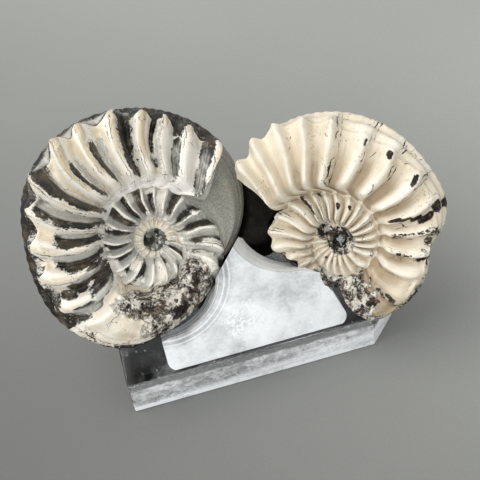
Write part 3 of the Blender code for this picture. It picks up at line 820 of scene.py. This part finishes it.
def parts(vector):
    return outputs(add_node(vector.tree, "ShaderNodeSeparateXYZ", ((0, vector),)))


def bump(height, distance):
    return add(height.tree, "ShaderNodeBump", (("Height", height), ("Distance", distance)))


def painted(tree, layer):
    """The four values of a layer painted on the piece."""
    colour, _, _, alpha = outputs(add_node(tree, "ShaderNodeAttribute", attribute_name=layer))
    return [*outputs(add_node(tree, "ShaderNodeSeparateColor", ((0, colour),))), alpha]


def use(group, *values):
    """A node group with its inputs fed in order; returns its outputs."""
    return outputs(add_node(values[0].tree, "ShaderNodeGroup", enumerate(values),
                            node_tree=group))


def ragged_edge(where, ribs, cover):
    """Where shell is left on the mould, its broken rim, and a painted highlight along the shell's
    edge.
    """
    wobble = blend((noise(where, 330.0, 5.0, 0.6, 0.4), 1.4), (noise(where, 900.0, 5.0, 0.65), 1.4),
                   (noise(where, 2200.0, 3.0), 0.8), (rib_noise(ribs, 6.0, 1.6, 4.0), 0.8))
    loose = ramp(cover, 1.0, 0.65, 0.45, 1.0) * ramp(cover, 0.0, 0.2, 0.75, 1.0)
    edge = wobble * loose + cover
    rim = ramp(edge, 0.28, 0.5) * ramp(edge, 0.6, 0.5)
    # The last output is a painted highlight: the shell whitens near its broken edge
    return ramp(edge, 0.48, 0.52), rim, ramp(edge, 0.8, 0.5)


def cream_shell(where, ribs, tan, pale, stain):
    """Cream with brown and white parts, growth lines and specks; also its grain and streaks."""
    cloud = noise(where, 160.0, 5.0)
    grain = noise(where, 2400.0, 4.0, 0.65)
    streak = rib_noise(ribs, 18.0, 1.6, 5.0, 0.65)
    growth = rib_noise(ribs, 70.0, 1.2)
    browned = tan + blend((cloud, 1.1), (streak, 0.6))
    whitened = pale + blend((streak, 1.0), (cloud, 0.6), (grain, 0.5))
    # The stain colour goes where tan is high; on the right shell it is partly painted shade in the
    # hollows
    colour = layered(
        DEEP_CREAM, (ramp(cloud, 0.35, 0.66), CREAM), (ramp(browned, 0.15, 0.95), stain),
        (ramp(whitened, 0.25, 0.85), CHALK), (ramp(whitened, 0.95, 1.45), WHITE_SHELL_AND_LIGHT),
        (ramp(growth, 0.54, 0.68, 0.0, 0.35), GROWTH_LINE),
        (ramp(grain, 0.6, 0.7, 0.0, 0.3), SHELL_SPECK))
    return colour, grain, growth * 0.5 + streak * 0.5


def fine_cracks(where, ribs, amount):
    """Dark hairlines beside the crests and across the flank, and small pits."""
    shift = noise(where, 300.0, 5.0)
    present = noise(where, 210.0, 2.0, 0.5)
    place = (shift * 0.3 + parts(ribs)[0]).math("FRACT")
    beside = abs(place - 0.37) + ramp(shift, 0.45, 0.6, 0.0, 0.02)
    line = abs(place - 0.27).least(beside)
    crack = line < ramp(present, 0.42, 0.62, 0.0, 0.011) * amount
    veins = cells(where, 300.0, "DISTANCE_TO_EDGE")
    vein = veins < ramp(shift, 0.54, 0.7, 0.0, 0.016) * amount
    pits = ramp(cells(where, 1500.0), 0.2, 0.12) * ramp(present, 0.52, 0.62)
    return crack.most(vein).most(pits),


def crumbled_break(where, rough):
    """Broken matrix: cream crumbs and ridges over near-black holes."""
    lump = noise(where, 470.0, 8.0, 0.72, 0.8)
    ridge = abs(noise(where, 600.0, 4.0, 0.6, 1.5) - 0.5)
    crumb = cells(where, 1000.0)
    tone = noise(where, 330.0, 5.0, 0.65)
    pale = blend((tone, 1.7), (lump, 1.5), (crumb, -0.5)) + 0.5
    colour = layered(
        CRUMB_HOLE, (ramp(lump, 0.42, 0.6), BROWN_CRUMB), (ramp(pale, 0.45, 0.57), CREAM_CRUMB),
        (ramp(ridge, 0.018, 0.006), CRUMB_RIDGE), (ramp(crumb, 0.3, 0.2, 0.0, 0.6), CRUMB_PIT))
    mask = ramp(rough + blend((tone, 1.3), (lump, 0.6)), 0.42, 0.54)
    return mask, colour, lump * 1.6 - crumb * 0.6 + ramp(ridge, 0.03, 0.0, 0.0, 0.4)


def heart_crystals(where, heart, glint, clear):
    """Dark crystals that line the middle of the coil, some with a pale face."""
    tone, other, _ = parts(cells(where, 1000.0, output="Color"))
    stain = noise(where, 700.0, 4.0)
    colour = layered(
        BLACK_CRYSTAL, (ramp(tone, 0.1, 0.9) * clear, GREY_CRYSTAL),
        (ramp(stain, 0.56, 0.64, 0.0, 0.6), BROWN_CRYSTAL),
        (ramp(other, 0.86, 0.9) * clear, PALE_CRYSTAL), (ramp(glint, 0.45, 0.55), CRYSTAL_GLINT))
    mask = ramp(heart + blend((stain, 1.8)), 0.42, 0.56)
    return mask, colour, tone * 1.6 - cells(where, 1000.0) * 1.2


def dust_film(where, amount, streaks):
    """Pale haze, partly dusty and partly a painted reflection, with dusty specks, and the roughness
    and waviness of the polish.
    """
    smudge = noise(where, 75.0, 4.0, 0.55, 0.5)
    patch = noise(where, 250.0, 5.0, 0.65, 0.5)
    scratches = noise(vectors("MULTIPLY", where, (1.0, 1.0, 1.6)), 430.0, 6.0, 0.72, 1.0)
    fine = noise(where, 1500.0, 4.0, 0.7)
    cloud = blend((smudge, 1.2), (patch, 0.5), (fine, 0.25)) + amount + (scratches - 0.5) * streaks
    some = ramp(noise(where, 400.0, 2.0, 0.5), 0.5, 0.58, 0.0, 0.6)
    specks = ramp(cells(where, 900.0), 0.22, 0.1) * some
    return ramp(cloud, 0.05, 1.1, 0.0, 0.97), specks, ramp(smudge, 0.4, 0.75, 0.02, 0.1), fine


# Node groups, as (maker, inputs, outputs)
GROUPS = (
    (ragged_edge, "Where Ribs Cover", "Mask Rim Thin"),
    (cream_shell, "Where Ribs Tan Pale Stain", "Colour Grain Streak"),
    (fine_cracks, "Where Ribs Amount", "Mask"),
    (crumbled_break, "Where Rough", "Mask Colour Height"),
    (heart_crystals, "Where Heart Glint Clear", "Mask Colour Height"),
    (dust_film, "Where Amount Streaks", "Haze Specks Roughness Height"),
)
SOCKETS = {"Where": "NodeSocketVector", "Ribs": "NodeSocketVector", "Colour": "NodeSocketColor",
           "Stain": "NodeSocketColor"}


def node_group(build, takes, gives):
    """A node group named after its maker, which gets the inputs and returns the outputs."""
    tree = bpy.data.node_groups.new(build.__name__, "ShaderNodeTree")
    for in_out, labels in (("INPUT", takes), ("OUTPUT", gives)):
        for label in labels.split():
            tree.interface.new_socket(name=label, in_out=in_out,
                                      socket_type=SOCKETS.get(label, "NodeSocketFloat"))
    taken = outputs(add_node(tree, "NodeGroupInput"))[:len(takes.split())]
    add_node(tree, "NodeGroupOutput", enumerate(build(*taken)))
    return tree


def new_material(name, colour):
    """A material with an empty tree, and its piece's own coordinates."""
    material = bpy.data.materials.new(name)
    material.use_nodes = True
    material.diffuse_color = (*colour, 1.0)
    material.node_tree.nodes.clear()
    return material, add(material.node_tree, "ShaderNodeTexCoord", output="Object")


def plain_shader(where, inputs):
    return add(where.tree, "ShaderNodeBsdfPrincipled", inputs.items())


def with_surface(material, shader):
    """The material, finished with this shader on its surface."""
    add_node(material.node_tree, "ShaderNodeOutputMaterial", (("Surface", shader),))
    return material


def shell_material(name, groups, mould, stained, brown, crack_amount, film, seam_lines, clear):
    """Cream shell with broken edges over a dark, glossy mould."""
    material, where = new_material(name, (0.6, 0.5, 0.4))
    ribs = add(where.tree, "ShaderNodeUVMap", uv_map="ribs")
    cover, tan, rough, pale = painted(where.tree, "finish")
    fill, heart, light, hurt = painted(where.tree, "ground")
    mask, rim, edge_highlight = use(groups["ragged_edge"], where, ribs, cover)
    # The shell is painted whiter near its broken edge, as a highlight
    cream, grain, streak = use(groups["cream_shell"], where, ribs, tan, edge_highlight * 0.5 + pale, brown)
    cracks, = use(groups["fine_cracks"], where, ribs, ramp(cover, 1.04, 0.95, 0.0, crack_amount))
    broken, broken_colour, broken_height = use(groups["crumbled_break"], where, rough)
    crystal, crystal_colour, crystal_height = use(groups["heart_crystals"], where, heart, light,
                                                  clear)

    cloud = noise(where, 420.0, 5.0, 0.65, 0.5)
    ragged = noise(where, 900.0, 5.0, 0.7, 0.8)
    stain = ramp(noise(where, 170.0, 4.0), 0.46, 0.62) * ramp(light, 0.9, 0.2)
    mottle = ramp(cloud, 0.54, 0.68) * ramp(grain, 0.42, 0.58) * film
    worn = ramp(blend((streak, 2.2), (cloud, 1.2)) + 0.5, 0.6, 1.0, 0.0, film)
    # Pale film on the mould, partly a painted highlight
    lit = ramp(light + blend((cloud, 0.9), (streak, 1.4)), 0.25, 1.0, 0.0, 0.95)
    matrix = mix(ramp(grain, 0.35, 0.65), GREY_FILL, PALE_FILL)
    beside_seam = ramp(parts(ribs)[1], 0.22, 0.08, 0.0, seam_lines)
    seam = ramp(rib_noise(ribs, 0.8, 44.0), 0.57, 0.62) * beside_seam
    wound = ramp(hurt + blend((cloud, 1.8), (ragged, 1.6)), 0.46, 0.54)
    marks = (cracks * mask).most(wound)
    inside = mix(ramp(ragged, 0.5, 0.66), DARK_INSIDE, BROWN_INSIDE)
    colour = layered(
        mould, (stain, stained), (mottle, MOTTLE), (worn, WORN_MOULD), (lit, PALE_FILM_AND_HIGHLIGHT),
        (fill, matrix), (rim, BROKEN_RIM), (mask, cream), (seam, SEAM_LINE),
        (broken, broken_colour), (wound.most(marks - marks * broken), inside),
        (crystal, crystal_colour))

    covered = mask.most(broken).most(marks)
    dull = add(where.tree, "ShaderNodeMix", ((0, covered), (2, fill * 0.45 + 0.26), (3, 0.62)))
    dull += blend((cloud, 0.3))
    height = (mask * 0.55 + blend((grain, 0.14), (streak, 0.4), (cloud, 0.2)) - marks * 0.8
              + broken * broken_height * 1.5 + crystal * crystal_height * 0.9)
    return with_surface(material, plain_shader(where, {
        "Base Color": colour, "Specular IOR Level": 0.36,
        "Roughness": crystal.math("MULTIPLY_ADD", -0.4, dull, use_clamp=True),
        "Normal": bump(height, 0.4 * MM)}))


def rock_material():
    """Near-black rock with fine grit; its black is partly painted shade in the gap between the
    shells.
    """
    material, where = new_material("dark_rock", (0.05, 0.045, 0.04))
    broad = noise(where, 200.0, 8.0, 0.65)
    fine = noise(where, 1500.0, 6.0, 0.7)
    colour = layered(BLACK_ROCK_AND_SHADE, (ramp(broad, 0.35, 0.7), DARK_ROCK),
                     (ramp(fine, 0.64, 0.74), ROCK_GRIT))
    return with_surface(material, plain_shader(where, {
        "Base Color": colour, "Roughness": 0.8, "Specular IOR Level": 0.12,
        "Normal": bump(blend((fine, 0.6), (broad, 1.0)), 0.6 * MM)}))


def plate_highlights_and_scratches(where, strength):
    """Clearer acrylic round the left scoop, painted highlights as bright rings beside it and lines
    in the wall, and scratches.
    """
    from_scoop = off_axis(where, SCOOP_MIDDLE, shell_axes(LEFT_FACING)[2])
    depth = past_plane(where, PLATE_FOOT, PLATE_OUTWARD)
    marks = ramp(from_scoop, *CLEAR_ROUND_SCOOP, 0.0, -strength)
    # Painted highlights: bright rings beside the scoop and lines along the wall
    for radius in SCOOP_HIGHLIGHT_RINGS:
        marks += near(from_scoop, radius, 0.28 * MM, 0.1 * MM, strength)
    for line in WALL_HIGHLIGHT_LINES:
        marks += near(depth, line, 0.4 * MM, 0.1 * MM, 0.4)
    patch = ramp(off_axis(where, SCRATCHES_MIDDLE, PLATE_OUTWARD), *SCRATCHES_REACH, 0.0, 0.6)
    return marks + ramp(noise(where, 1300.0, 3.0), 0.5, 0.56) * patch


def painted_foot_light_and_shade(where, facing, strength):
    """Painted light in patches low on the base's front, and painted shade along its top edge, where
    the pale film is taken away.
    """
    rise = parts(where)[2]
    along = noise(vectors("MULTIPLY", where, (1.0, 0.0, 0.0)), 90.0, 2.0, 0.5)
    low = ramp(rise, 2.2 * MM, 1.0 * MM) * ramp(along, 0.4, 0.56, 0.25, 1.5)
    band = low + ramp(rise, 7.4 * MM, 8.6 * MM, 0.0, -1.0)
    return band * ramp(facing, -0.5, -0.8, 0.0, strength)


def acrylic_material(name, groups, all_round, in_front, on_top, streaks, foot=0.0, scoop=0.0):
    """Clear acrylic with smudges in its polish and a pale film on the given faces, partly dusty
    haze and partly a painted reflection.
    """
    material, where = new_material(name, (0.9, 0.93, 0.94))
    _, facing, rising = parts(add(where.tree, "ShaderNodeNewGeometry", output="Normal"))
    # The pale film is partly dusty haze and partly a painted reflection, most on faces that look to
    # the front
    dust = ramp(facing, -0.75, -0.9, all_round, in_front)
    dust += ramp(rising, 0.85, 0.95, 0.0, on_top - all_round)
    if scoop:
        dust += plate_highlights_and_scratches(where, scoop)
    # Painted light low on the base's front, and painted shade along its top edge
    if foot:
        dust += painted_foot_light_and_shade(where, facing, foot)
    scratched = ramp(facing, -0.5, -0.8, 0.3, streaks)
    haze, specks, roughness, height = use(groups["dust_film"], where, dust, scratched)
    acrylic = plain_shader(where, {
        "Base Color": ACRYLIC, "Transmission Weight": 1.0, "IOR": 1.49, "Roughness": roughness,
        "Normal": bump(height, 0.01 * MM)})
    film = plain_shader(where, {
        "Base Color": DUST_AND_REFLECTION, "Roughness": 0.9, "Normal": bump(specks, 0.05 * MM)})
    inputs = enumerate((haze.most(specks), acrylic, film))
    return with_surface(material, add(where.tree, "ShaderNodeMixShader", inputs))


# Stand and rock

def polish_edges(piece):
    """Round the edges a little, as a flame or a buff leaves them."""
    modify(piece, "BEVEL", width=EDGE_ROUND, segments=3, limit_method="ANGLE",
           angle_limit=EDGE_ANGLE)
    bpy.ops.object.shade_smooth_by_angle(angle=SMOOTH_ANGLE)


def merged_copy(name, node):
    """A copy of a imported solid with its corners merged."""
    piece = place_in_scene(name, node.data.copy())
    piece.data.name = name
    piece.data.materials.clear()
    edit_all(piece, bpy.ops.mesh.remove_doubles, threshold=MERGE_WITHIN)
    return piece


def make_base(material):
    """The thick base, with its front-right corner cut off."""
    half, depth = BASE_FRONT / 2, BASE_DEPTH / 2
    low, high = (-half, -depth, 0), (half + BASE_CLIP[0], depth, BASE_HEIGHT)
    bpy.ops.object.select_all(action="DESELECT")
    bpy.ops.mesh.primitive_cube_add(size=1, location=[(a + b) / 2 for a, b in zip(low, high)])
    base = bpy.context.object
    base.name = base.data.name = "clear_base"
    base.scale = [b - a for a, b in zip(low, high)]
    bpy.ops.object.transform_apply(location=True, rotation=True, scale=True)
    outward = Vector((BASE_CLIP[1], -BASE_CLIP[0], 0)).normalized()
    edit_all(base, bpy.ops.mesh.bisect, plane_co=(half, -depth, 0), plane_no=outward,
             use_fill=True, clear_outer=True)
    polish_edges(base)
    base.data.materials.append(material)
    return base


def make_upright(node, material):
    """The leaning plate, its flat faces whole again."""
    plate = merged_copy("clear_upright", node)
    edit_all(plate, bpy.ops.mesh.dissolve_limited, angle_limit=FLAT_ANGLE)
    polish_edges(plate)
    plate.data.materials.append(material)
    return plate


def make_rock(node, material):
    """The lump of rock behind the shells, with a rough broken surface."""
    rock = merged_copy("dark_matrix", node)
    modify(rock, "SUBSURF", levels=2, render_levels=2)
    for name, size, depth in ROCK_RELIEF:
        pattern = bpy.data.textures.new(name, "CLOUDS")
        pattern.noise_scale = size
        modify(rock, "DISPLACE", texture=pattern, texture_coords="LOCAL", strength=depth,
               mid_level=0.5)
    bpy.ops.object.shade_smooth()
    rock.data.materials.append(material)
    return rock


# Stage

def look_along(thing, place, forward, right):
    forward = Vector(forward).normalized()
    right = Vector(right)
    right = (right - forward * right.dot(forward)).normalized()
    matrix = Matrix((right, right.cross(forward), -forward)).transposed().to_4x4()
    matrix.translation = Vector(place)
    thing.matrix_world = matrix


def make_camera():
    lens = bpy.data.cameras.new("camera")
    lens.lens = CAMERA_LENS
    lens.sensor_width = CAMERA_SENSOR
    lens.clip_start = CAMERA_CLIP
    camera = place_in_scene("camera", lens)
    look_along(camera, CAMERA_PLACE, CAMERA_FORWARD, CAMERA_RIGHT)
    bpy.context.scene.camera = camera


def area_light(name, place, aim, width, height, power, colour):
    data = bpy.data.lights.new(name, "AREA")
    data.shape = "RECTANGLE"
    data.size, data.size_y = width, height
    data.energy, data.color = power, colour
    forward = Vector(aim) - Vector(place)
    look_along(place_in_scene(name, data), place, forward, forward.cross(Vector((0, 0, 1))))


def table_material():
    """Grey table, with painted shade darkening it towards the front left and a near-black painted
    shadow under the base.
    """
    material, where = new_material("table", (0.3, 0.3, 0.3))
    lighter, darker, painted_shade = ([c * share for c in TABLE_TONE] for share in (1.05, 0.8, 0.12))
    along, back, _ = parts(where)
    half, depth = (BASE_FRONT + BASE_CLIP[0]) / 2, BASE_DEPTH / 2
    # Painted shadow: near black under the base, fading past its edges and its cut corner
    corner = along - back * (BASE_CLIP[0] / BASE_CLIP[1])
    under = (near(along, BASE_CLIP[0] / 2, half, half - 3.0 * MM)
             * near(back, 0.0, depth, depth - 2.0 * MM) * ramp(corner, *CORNER_SHADE))
    tone = layered(
        TABLE_TONE, (ramp(noise(where, 12.0, 2.0, 0.5), 0.3, 0.7), lighter),
        (ramp(noise(where, 1500.0, 2.0, 0.5), 0.3, 0.7, 0.0, 0.2), darker),
        # Painted shade: darker towards the front left
        (ramp(along * 4.25 + back * 3.0, -0.6, 0.75, 0.72, 0.0), painted_shade),
        (under, UNDER_BASE_PAINTED_SHADOW))
    return with_surface(material, plain_shader(where, {
        "Base Color": tone, "Roughness": 0.6, "Specular IOR Level": 0.2}))


def make_stage():
    bpy.ops.object.select_all(action="DESELECT")
    bpy.ops.mesh.primitive_plane_add(size=TABLE_SIZE, location=(0, 0, TABLE_HEIGHT))
    floor = bpy.context.object
    bpy.ops.object.transform_apply(location=True, rotation=True, scale=True)
    floor.name = floor.data.name = "table_top"
    floor.data.materials.append(table_material())
    scene = bpy.context.scene
    scene.world = bpy.data.worlds.new("studio")
    scene.world.use_nodes = True
    surround = scene.world.node_tree.nodes["Background"]
    feed(surround.inputs[0], SURROUND_COLOUR)
    feed(surround.inputs[1], SURROUND)
    for light in LIGHTS:
        area_light(*light)
    scene.view_settings.view_transform = "Standard"
    scene.view_settings.look = "None"


def build_object():
    make_camera()
    make_stage()
    left = Ammonite(LEFT_CENTRE, LEFT_FACING, -1, LEFT_REACH, LEFT_KEEL, LEFT_RIBS,
                    LEFT_ROWS_PAST_LAST_RIB, LEFT_STRENGTH, LEFT_SECTION, LEFT_COUNT, LEFT_KNOBS,
                    LEFT_HEART_RIM, True)
    right = Ammonite(RIGHT_CENTRE, RIGHT_FACING, 1, RIGHT_REACH, RIGHT_KEEL, RIGHT_RIBS,
                     RIGHT_ROWS_PAST_LAST_RIB, RIGHT_STRENGTH, RIGHT_SECTION, RIGHT_COUNT,
                     RIGHT_KNOBS, RIGHT_HEART_RIM, False)
    groups = {build.__name__: node_group(build, takes, gives) for build, takes, gives in GROUPS}
    dark_shell = shell_material(
        "dark_mould_and_shell", groups, mould=(0.012, 0.011, 0.008), stained=(0.055, 0.041, 0.024),
        brown=(0.5, 0.41, 0.265), crack_amount=1.1, film=0.72, seam_lines=0.5, clear=1.0)
    # The right shell's brown is partly painted shade, laid in its hollows
    pale_shell = shell_material(
        "cream_shell", groups, mould=(0.03, 0.023, 0.015), stained=(0.06, 0.044, 0.026),
        brown=(0.37, 0.285, 0.185), crack_amount=1.4, film=0.5, seam_lines=0.15, clear=0.25)
    # Painted reflection: the pale film covers the plate nearly all over and the base mostly on its
    # front
    base_acrylic = acrylic_material("clear_base_acrylic", groups, all_round=0.1, in_front=0.47,
                                    on_top=0.0, streaks=1.5, foot=0.62)
    plate_acrylic = acrylic_material("clear_plate_acrylic", groups, all_round=0.84,
                                     in_front=0.8, on_top=0.8, streaks=0.4, scoop=0.24)
    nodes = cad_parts
    pieces = (
        (shell_piece("left_shell", left, LeftFinish(), dark_shell), "left_ammonite",
         "dark_mould_and_shell"),
        (shell_piece("right_shell", right, RightFinish(), pale_shell), "right_ammonite",
         "cream_shell"),
        (make_rock(nodes["matrix_rock"], rock_material()), "matrix_rock", "dark_rock"),
        (make_base(base_acrylic), "stand_base", "clear_acrylic"),
        (make_upright(nodes["stand_upright"], plate_acrylic), "stand_upright", "clear_acrylic"),
    )
    for piece, node, slot in pieces:
        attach(piece, "root")
        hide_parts(node)


build_object()
